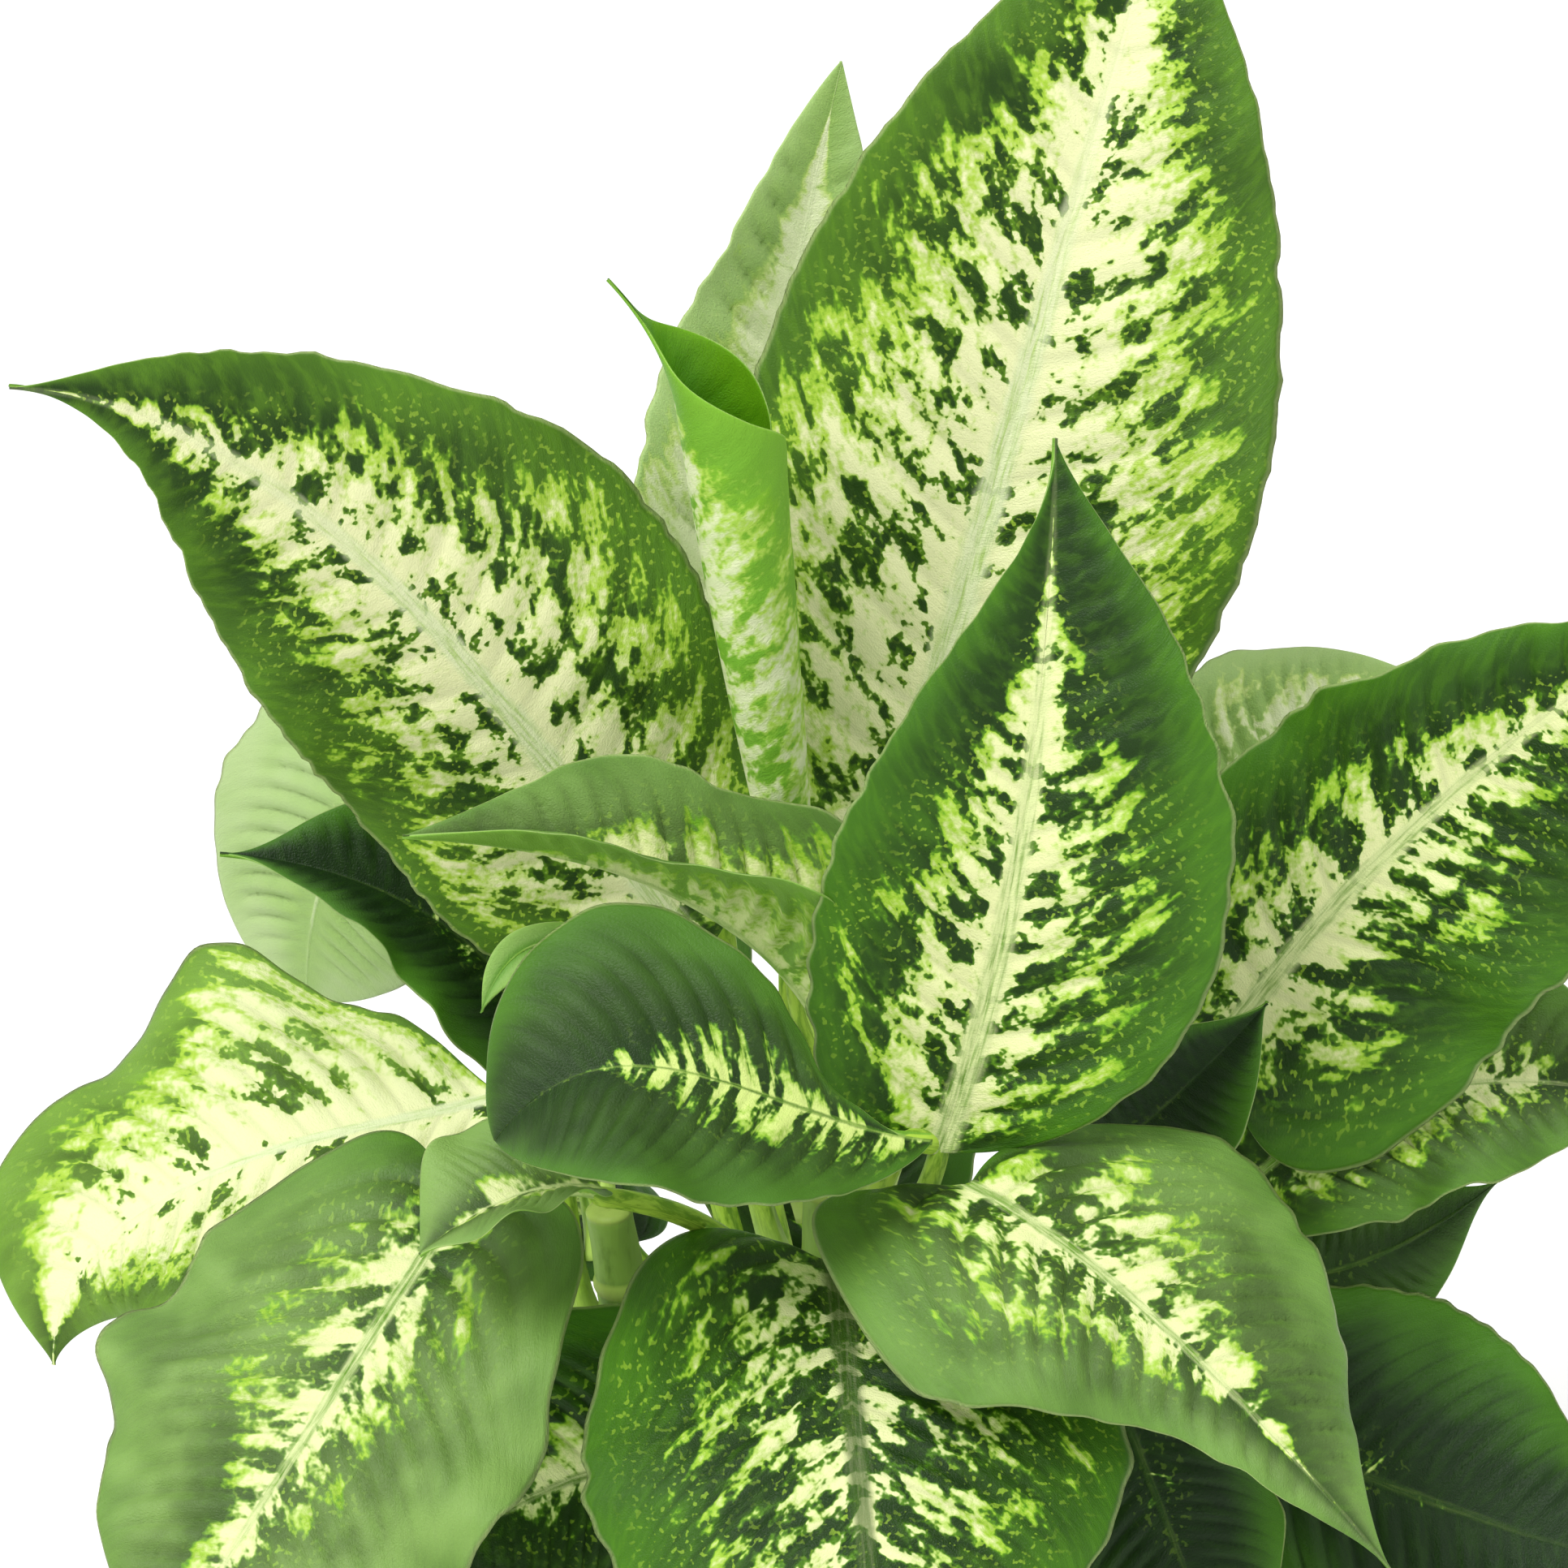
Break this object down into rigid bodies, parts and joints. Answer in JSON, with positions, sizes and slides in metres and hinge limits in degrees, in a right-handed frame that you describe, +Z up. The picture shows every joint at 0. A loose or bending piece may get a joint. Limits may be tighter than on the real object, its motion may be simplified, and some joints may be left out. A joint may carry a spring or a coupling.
{
  "type": "potted dieffenbachia plant",
  "caption": "Bushy potted dieffenbachia with broad arching cream-and-green variegated leaves on jointed canes, standing in soil in a plain tapered nursery pot",
  "frame": {"origin": "centre of the flat underside of the pot, on the surface that it stands on", "axes": "+Z up, along the axis of the pot; -Y toward the side shown in the picture; +X to the right in that view"},
  "size_m": [0.3208, 0.2627, 0.4412],
  "materials": {
    "leaf_cream": "living leaf blade, semi-gloss, mostly cream with green margin and spots",
    "leaf_flame": "living leaf blade, semi-gloss, green with a cream flame along the midrib",
    "leaf_dark": "living leaf blade, semi-gloss, dark green with few pale flecks",
    "leaf_pale": "living leaf blade, soft, pale grey-green",
    "leaf_young": "young rolled leaf, semi-gloss, bright yellow-green",
    "cane": "fleshy green-tan cane with ringed joints, satin",
    "soil": "moist peat and bark potting mix, rough",
    "pot": "moulded nursery pot, satin-matte"
  },
  "bodies": {
    "root": {"pot": "pot", "soil": "soil", "cane_centre": "cane", "cane_front": "cane", "cane_right": "cane", "cane_left": "cane", "cane_back": "cane", "leaf_tall_right": "leaf_cream", "leaf_big_left": "leaf_cream", "leaf_boat_left": "leaf_flame", "leaf_back_tall_left": "leaf_pale", "leaf_pale_back_left": "leaf_pale", "leaf_rolled": "leaf_young", "leaf_bud_sheath": "leaf_young", "leaf_front_upright": "leaf_flame", "leaf_centre_dome": "leaf_dark", "leaf_front_centre": "leaf_flame", "leaf_front_right": "leaf_flame", "leaf_small_fold_left": "leaf_flame", "leaf_dark_low_left": "leaf_dark", "leaf_right_big": "leaf_flame", "leaf_right_behind": "leaf_pale", "leaf_right_low": "leaf_flame", "leaf_right_under": "leaf_dark", "leaf_dark_right": "leaf_dark", "leaf_dark_centre_right": "leaf_dark", "leaf_small_dark_right": "leaf_dark", "leaf_low_right": "leaf_flame", "leaf_dark_left": "leaf_dark", "leaf_cream_left": "leaf_cream", "leaf_front_left": "leaf_flame", "leaf_small_bud_left": "leaf_young", "leaf_back_upright": "leaf_flame", "leaf_back_centre": "leaf_dark", "leaf_back_left": "leaf_flame", "leaf_back_right": "leaf_flame", "leaf_back_low_right": "leaf_dark", "leaf_back_low_left": "leaf_dark"}
  },
  "joints": []
}
